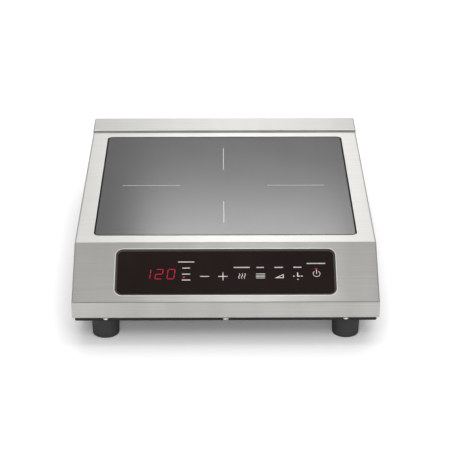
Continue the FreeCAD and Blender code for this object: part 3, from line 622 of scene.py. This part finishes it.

# Materials of the scene's own pieces, and of the hood, a darker copy of the cover's steel as painted shade

PRINT = surface("print_white", (0.68, 0.68, 0.67), (0.82, 0.82, 0.81), (0.5, 0.65), FINE)
PRINT_DIM = surface("print_grey", grey(0.42), grey(0.55), (0.5, 0.65), FINE)
GLOW = glowing("display_red", (0.34, 0.01, 0.03), 0.7)
# Near-white, partly matte steel for the lips and the hood's fold: a painted highlight on rounded edges.
EDGE_HIGHLIGHT = surface("edge_painted_highlight", (0.84, 0.84, 0.83), (0.94, 0.94, 0.93), (0.35, 0.45), FINE,
               metallic=0.35, bump=0.05)
SHADED_HOOD_STEEL = brushed("hood_steel_painted_shade", (0.454, 0.45, 0.434), (0.624, 0.619, 0.599), (0.39, 0.47))
# Darker copy of the brushed steel for the strip on the cover's lower fold: painted shade.
FOLD_SHADE_STEEL = brushed("fold_painted_shade", (0.34, 0.337, 0.327), (0.41, 0.406, 0.394), (0.4, 0.46))


def dress(node, material):
    for slot in frame["nodes"][node].material_slots:
        slot.material = material


def dress_nodes():
    for subpart in frame["record"]["subparts"]:
        dress(subpart["node"], materials[subpart["material_slot"]])
    # The hood's darker copy of the steel is painted shade.
    dress("rear_hood", SHADED_HOOD_STEEL)


# Prints on the two glasses


def cross_marks():
    """Four thin lines that show where the pan goes."""
    middle = centre("glass_plate")
    place = Matrix.Translation((middle.x, middle.y, corner("glass_plate", 1)[2] + PRINT_LIFT))
    for side, (start, end) in MARK_SPANS.items():
        outline = ribbon([Vector(start) * MM, Vector(end) * MM], MARK_WIDTH)
        slab([outline], PRINT_DEPTH, place, f"cross_mark_{side}", PRINT)


def segment_outlines(letters):
    """Outlines of the lit segments of one digit, upright about its middle."""
    half = DIGIT_STROKE / 2
    w = DIGIT_WIDTH / 2 - half
    h = DIGIT_HEIGHT / 2 - half
    ends = {
        "a": ((-w, h), (w, h)),
        "b": ((w, h), (w, 0)),
        "c": ((w, 0), (w, -h)),
        "d": ((-w, -h), (w, -h)),
        "e": ((-w, 0), (-w, -h)),
        "f": ((-w, h), (-w, 0)),
        "g": ((-w, 0), (w, 0)),
    }
    outlines = []
    for letter in letters:
        start, end = (Vector(point) for point in ends[letter])
        along = (end - start).normalized()
        side = Vector((-along.y, along.x)) * half
        start = start + along * DIGIT_GAP
        end = end - along * DIGIT_GAP
        shoulder = along * half
        outlines.append([start, start + shoulder - side, end - shoulder - side, end,
                         end - shoulder + side, start + shoulder + side])
    return outlines


def display_digits():
    """Slanted red digits behind the panel glass."""
    outlines = []
    for x, figure in DIGIT_MIDDLES.items():
        middle = down(x, DIGIT_DOWN)
        for outline in segment_outlines(SEGMENTS[figure]):
            outlines.append([middle + Vector((p.x + DIGIT_SLANT * p.y, p.y)) for p in outline])
    slab(outlines, PRINT_DEPTH, slope_matrix(), "display_digits", GLOW)


def panel_line(ends, width):
    return ribbon([down(*end) for end in ends], width)


def heat_waves():
    """Upright wavy lines."""
    waves = []
    for x in WAVE_PLACES:
        points = []
        for k in range(WAVE_STEPS + 1):
            share = k / WAVE_STEPS
            points.append((x + WAVE_SWING * math.sin(2 * math.pi * share), WAVE_TOP + WAVE_HEIGHT * share))
        waves.append(panel_line(points, THIN_LINE))
    return waves


def level_bars():
    """Flat lines, one under the other."""
    bars = []
    for k in range(BAR_COUNT):
        height = BAR_TOP + BAR_STEP * k
        bars.append(panel_line([(x, height) for x in BAR_ENDS], THIN_LINE))
    return bars


def timer_sign():
    """Clock hands between marks for the hours."""
    hands = [down(*point) for point in HAND_CORNERS]
    dots = [disc(down(*point), HOUR_DOT_RADIUS) for point in HOUR_DOTS]
    return [hands] + dots + [panel_line(HOUR_DASH, HOUR_DASH_WIDTH)]


def power_sign():
    """Open ring with a bar in its gap."""
    ring = ribbon(arc(down(*POWER_MIDDLE), POWER_RADIUS, *POWER_SPAN), THIN_LINE)
    return [ring, panel_line([(POWER_MIDDLE[0], POWER_BAR_TOP), POWER_MIDDLE], LINE)]


def touch_symbols():
    """Minus, plus, heat waves, level bars, wedge, timer and power sign on the panel glass."""
    plus = [down(*PLUS_MIDDLE) + Vector(point) for point in plus_outline(PLUS_SIZE, LINE)]
    outlines = [panel_line(MINUS_ENDS, LINE), plus]
    outlines += heat_waves() + level_bars() + timer_sign() + power_sign()
    wedge = triangle_frame([down(*point) for point in WEDGE_CORNERS], LINE)
    slab(outlines, PRINT_DEPTH, slope_matrix(), "touch_symbols", PRINT, [wedge])


def label_dashes():
    """Plain dashes where the panel has its small captions."""
    outlines = [rounded_bar(down(x, v), length * MM, DASH_HEIGHT, DASH_CORNER) for x, v, length in DASHES]
    slab(outlines, PRINT_DEPTH, slope_matrix(), "label_dashes", PRINT_DIM)


def panel_lamps():
    """Lit red lamps of the mode and the power key."""
    outlines = [disc(down(*point), LAMP_RADIUS) for point in LAMP_MIDDLES]
    slab(outlines, LAMP_DEPTH, slope_matrix(), "panel_lamps", GLOW)


# Steel lips and fold lines, with painted highlight and painted shade


def rolled_edge(name, size, radius, width, rise, place):
    """Rounded lip of the steel around an opening, coloured near-white as a painted highlight."""
    loops = []
    for k in range(LIP_STEPS + 1):
        angle = math.pi * k / LIP_STEPS
        out = width / 2 * (1 - math.cos(angle))
        grown = (size[0] + 2 * out, size[1] + 2 * out)
        outline = rounded_bar(Vector((0, 0)), *grown, radius + out, LIP_CORNER_STEPS)
        loops.append(at_height(outline, rise * math.sin(angle)))
    bm = bmesh.new()
    swept_ring(bm, loops)
    for face in bm.faces:
        face.smooth = True
    placed(bm, place)
    finished(bm, name, EDGE_HIGHLIGHT)


def opening_edges():
    """Lips around the panel window and the cooking glass, bright with a painted highlight."""
    size = (WINDOW_WIDTH, WINDOW_HEIGHT)
    place = slope_matrix() @ Matrix.Translation((0, 0, WINDOW_SINK - PRINT_LIFT))
    rolled_edge("window_edge", size, WINDOW_CORNER, WINDOW_LIP_WIDTH, WINDOW_LIP_RISE, place)
    low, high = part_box("glass_seal")
    middle = centre("glass_seal")
    size = (high[0] - low[0], high[1] - low[1])
    place = Matrix.Translation((middle.x, middle.y, corner("top_cover", 1)[2]))
    rolled_edge("glass_edge", size, GLASS_CORNER, GLASS_LIP_WIDTH, GLASS_LIP_RISE, place)


def fold_strip(name, node, hub, radius, span, material):
    """Thin strip over a rounded fold that runs across the part. Its hub is drawn in Y and Z."""
    start, end = span
    outer = arc(hub, radius + PRINT_LIFT + PRINT_DEPTH, start, end, FOLD_STEPS)
    inner = arc(hub, radius + PRINT_LIFT, end, start, FOLD_STEPS)
    across = Matrix(((0, 0, 1, 0), (1, 0, 0, 0), (0, 1, 0, 0), (0, 0, 0, 1)))
    low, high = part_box(node)
    place = Matrix.Translation((low[0] + radius, 0, 0)) @ across
    slab([outer + inner], high[0] - low[0] - 2 * radius, place, name, material)


def fold_lines():
    """Painted highlight as a bright line on the front fold of the hood, and painted shade as a dark line on
    the lower fold of the cover.
    """
    low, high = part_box("rear_hood")
    hub = Vector((low[1] + HOOD_RADIUS, high[2] - HOOD_RADIUS))
    fold_strip("hood_edge_painted_highlight", "rear_hood", hub, HOOD_RADIUS, HOOD_SPAN, EDGE_HIGHLIGHT)
    drop = COVER_RADIUS * math.tan((math.pi / 2 - SLOPE) / 2)
    hub = Vector((corner("top_cover", 0)[1] + COVER_RADIUS, SKIRT_TOP - drop))
    fold_strip("front_fold_painted_shade", "top_cover", hub, COVER_RADIUS, COVER_SPAN, FOLD_SHADE_STEEL)


# Feet and screws


def foot_profile(top):
    """Radius and height from the middle of the cup, over the tread, up to the top of the stem."""
    tread = FOOT_RADIUS - FOOT_TAPER
    tread_hub = Vector((tread - FOOT_ROUND, FOOT_ROUND))
    top_hub = Vector((FOOT_RADIUS - FOOT_TOP_ROUND, FOOT_HEIGHT - FOOT_TOP_ROUND))
    profile = [(CUP_MIDDLE * tread, CUP_DEPTH), (CUP_FLOOR * tread, CUP_DEPTH), (CUP_EDGE * tread, 0.0)]
    profile += arc(tread_hub, FOOT_ROUND, -90, 0, FOOT_ROUND_STEPS)
    profile += arc(top_hub, FOOT_TOP_ROUND, 0, 90, FOOT_TOP_STEPS)
    return profile + [(STEM_RADIUS, FOOT_HEIGHT), (STEM_RADIUS, top)]


def rubber_feet():
    """Tapered feet with round edges and a shallow cup underneath."""
    low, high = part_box("rubber_feet")
    profile = foot_profile(high[2])
    bm = bmesh.new()
    for x in (low[0] + FOOT_RADIUS, high[0] - FOOT_RADIUS):
        for y in (low[1] + FOOT_RADIUS, high[1] - FOOT_RADIUS):
            turned(bm, profile, Vector((x, y, low[2])))
    feet = finished(bm, "rounded_feet", materials["foot_rubber"])
    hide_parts("rubber_feet")


def screw_profile(length):
    """Radius and height from the dome of the head to the tip."""
    profile = []
    for k in range(SCREW_DOME_STEPS + 1):
        angle = math.radians(90 * k / SCREW_DOME_STEPS)
        radius = max(SCREW_HEAD_RADIUS * math.sin(angle), SCREW_DOME_FLAT)
        profile.append((radius, SCREW_DOME * (1 - math.cos(angle))))
    profile += [(SCREW_HEAD_RADIUS, SCREW_HEAD_HEIGHT), (SCREW_SHANK, SCREW_HEAD_HEIGHT)]
    return profile + [(SCREW_SHANK, length - SCREW_TIP), (SCREW_TIP_SHARE * SCREW_SHANK, length)]


def cross_recess(bm, place):
    """Cross-shaped cutter for a screw head."""
    outline = plus_outline(RECESS_LENGTH, RECESS_WIDTH)
    loops = []
    for shrink, height in ((1.0, RECESS_START), (RECESS_TAPER, RECESS_DEPTH)):
        loops.append([place + Vector((x * shrink, y * shrink, height)) for x, y in outline])
    capped(bm, loops)


def carve(piece, cutters):
    """Cut a finished piece by closed cutters, and keep only the result."""
    tool = linked(cutters, "cutters")
    cut = piece.modifiers.new("recess", "BOOLEAN")
    cut.operation = "DIFFERENCE"
    cut.solver = "EXACT"
    cut.object = tool
    bpy.context.view_layer.update()
    shape = bpy.data.meshes.new_from_object(piece.evaluated_get(bpy.context.evaluated_depsgraph_get()))
    piece.modifiers.remove(cut)
    piece.data = shape
    bpy.data.objects.remove(tool)


def front_screws():
    """Pan-head screws with a cross recess, heads down in the notches of the base."""
    low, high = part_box("base_screws")
    profile = screw_profile(high[2] - low[2])
    heads = bmesh.new()
    cutters = bmesh.new()
    middle = (low[0] + high[0]) / 2
    for x in (low[0] + SCREW_HEAD_RADIUS, middle, high[0] - SCREW_HEAD_RADIUS):
        place = Vector((x, (low[1] + high[1]) / 2, low[2]))
        turned(heads, profile, place, SCREW_STEPS)
        cross_recess(cutters, place)
    screws = finished(heads, "front_screws", materials["screw_steel"])
    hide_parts("base_screws")
    carve(screws, cutters)


# Stage, light and camera


def glossy_ray(nodes):
    return nodes.new("ShaderNodeLightPath").outputs["Is Glossy Ray"]


def seen_ray(nodes, links):
    """One for rays from the camera and for rays that went through glass."""
    path = nodes.new("ShaderNodeLightPath")
    return calc(nodes, links, "MAXIMUM", path.outputs["Is Camera Ray"], path.outputs["Is Transmission Ray"])


def floor_material():
    """White for the camera, and a little darker where the steel mirrors it."""
    material, nodes, links = node_material("floor_white")
    shader = shader_of(nodes)
    pale = ranged(nodes, links, glossy_ray(nodes), FLOOR_WHITE, FLOOR_MIRRORED)
    links.new(pale, shader.inputs["Base Color"])
    shader.inputs["Roughness"].default_value = 0.9
    shader.inputs["Specular IOR Level"].default_value = 0.0
    shader.inputs["Emission Color"].default_value = (1, 1, 1, 1)
    lift = calc(nodes, links, "MULTIPLY", seen_ray(nodes, links), FLOOR_LIFT)
    links.new(lift, shader.inputs["Emission Strength"])
    return material


def floor():
    """Pale floor that keeps the shadow."""
    bm = bmesh.new()
    bmesh.ops.create_grid(bm, x_segments=1, y_segments=1, size=FLOOR_SIZE)
    piece = linked(bm, "floor")
    piece.location = (0, 0, FLOOR_LEVEL)
    piece.data.materials.append(floor_material())


def sky_level(nodes, links, height):
    """Level of the sky that the steel mirrors: bright half way up, dim at the horizon and overhead."""
    sky = nodes.new("ShaderNodeValToRGB")
    ramp = sky.color_ramp
    ramp.interpolation = "EASE"
    ramp.elements.new(SKY_LEVELS[1][0])
    for stop, (position, level) in zip(ramp.elements, SKY_LEVELS):
        stop.position = position
        stop.color = (*grey(level), 1)
    links.new(height, sky.inputs["Fac"])
    return sky.outputs["Color"]


def flank_level(nodes, links, across, glossy):
    """Share of the sky's light that is left at both flanks."""
    aside = calc(nodes, links, "SUBTRACT", across, FLANK_SHIFT)
    size = calc(nodes, links, "ABSOLUTE", aside)
    dark = ranged(nodes, links, glossy, FLANK_FILL, FLANK_MIRRORED)
    return ranged(nodes, links, size, 1.0, dark, FLANK_SPAN, "SMOOTHSTEP")


def world():
    """White background, an even sky for matte surfaces and a graded one for what mirrors."""
    backdrop = bpy.data.worlds.new("studio")
    bpy.context.scene.world = backdrop
    backdrop.use_nodes = True
    nodes = backdrop.node_tree.nodes
    links = backdrop.node_tree.links
    background = nodes["Background"]
    background.inputs["Color"].default_value = (1, 1, 1, 1)
    coords = nodes.new("ShaderNodeTexCoord")
    split = nodes.new("ShaderNodeSeparateXYZ")
    links.new(coords.outputs["Generated"], split.inputs["Vector"])
    glossy = glossy_ray(nodes)
    fill = ranged(nodes, links, glossy, SKY_FILL, sky_level(nodes, links, split.outputs["Z"]))
    flank = flank_level(nodes, links, split.outputs["X"], glossy)
    dimmed = calc(nodes, links, "MULTIPLY", fill, flank)
    strength = ranged(nodes, links, seen_ray(nodes, links), dimmed, 1.0)
    links.new(strength, background.inputs["Strength"])


def aimed(thing, place, aim):
    """Put a light or a camera in its place, looking along a direction."""
    thing.location = place
    thing.rotation_euler = aim.to_track_quat("-Z", "Y").to_euler()
    bpy.context.scene.collection.objects.link(thing)


def softbox(name, place, target, size, power, mirrored=True):
    """Soft light. One that isn't mirrored lights matte surfaces only."""
    light = bpy.data.lights.new(name, "AREA")
    light.shape = "RECTANGLE"
    light.size, light.size_y = size
    light.energy = power
    lamp = bpy.data.objects.new(name, light)
    lamp.visible_glossy = mirrored
    aimed(lamp, place, Vector(target) - Vector(place))


def camera():
    data = bpy.data.cameras.new("camera")
    data.sensor_width = CAMERA_SENSOR
    data.lens = CAMERA_LENS
    eye = bpy.data.objects.new("camera", data)
    level = math.cos(CAMERA_PITCH)
    ahead = Vector((math.sin(CAMERA_YAW) * level, math.cos(CAMERA_YAW) * level, -math.sin(CAMERA_PITCH)))
    aimed(eye, CAMERA_PLACE, ahead)
    bpy.context.scene.camera = eye


# Everything in its place

dress_nodes()
opening_edges()
fold_lines()
rubber_feet()
front_screws()
cross_marks()
display_digits()
touch_symbols()
label_dashes()
panel_lamps()

floor()
world()
softbox("back_softbox", **BACK_LIGHT)
softbox("front_softbox", **FRONT_LIGHT)
softbox("slope_softbox", **SLOPE_LIGHT)
camera()
bpy.context.scene.view_settings.view_transform = "Standard"
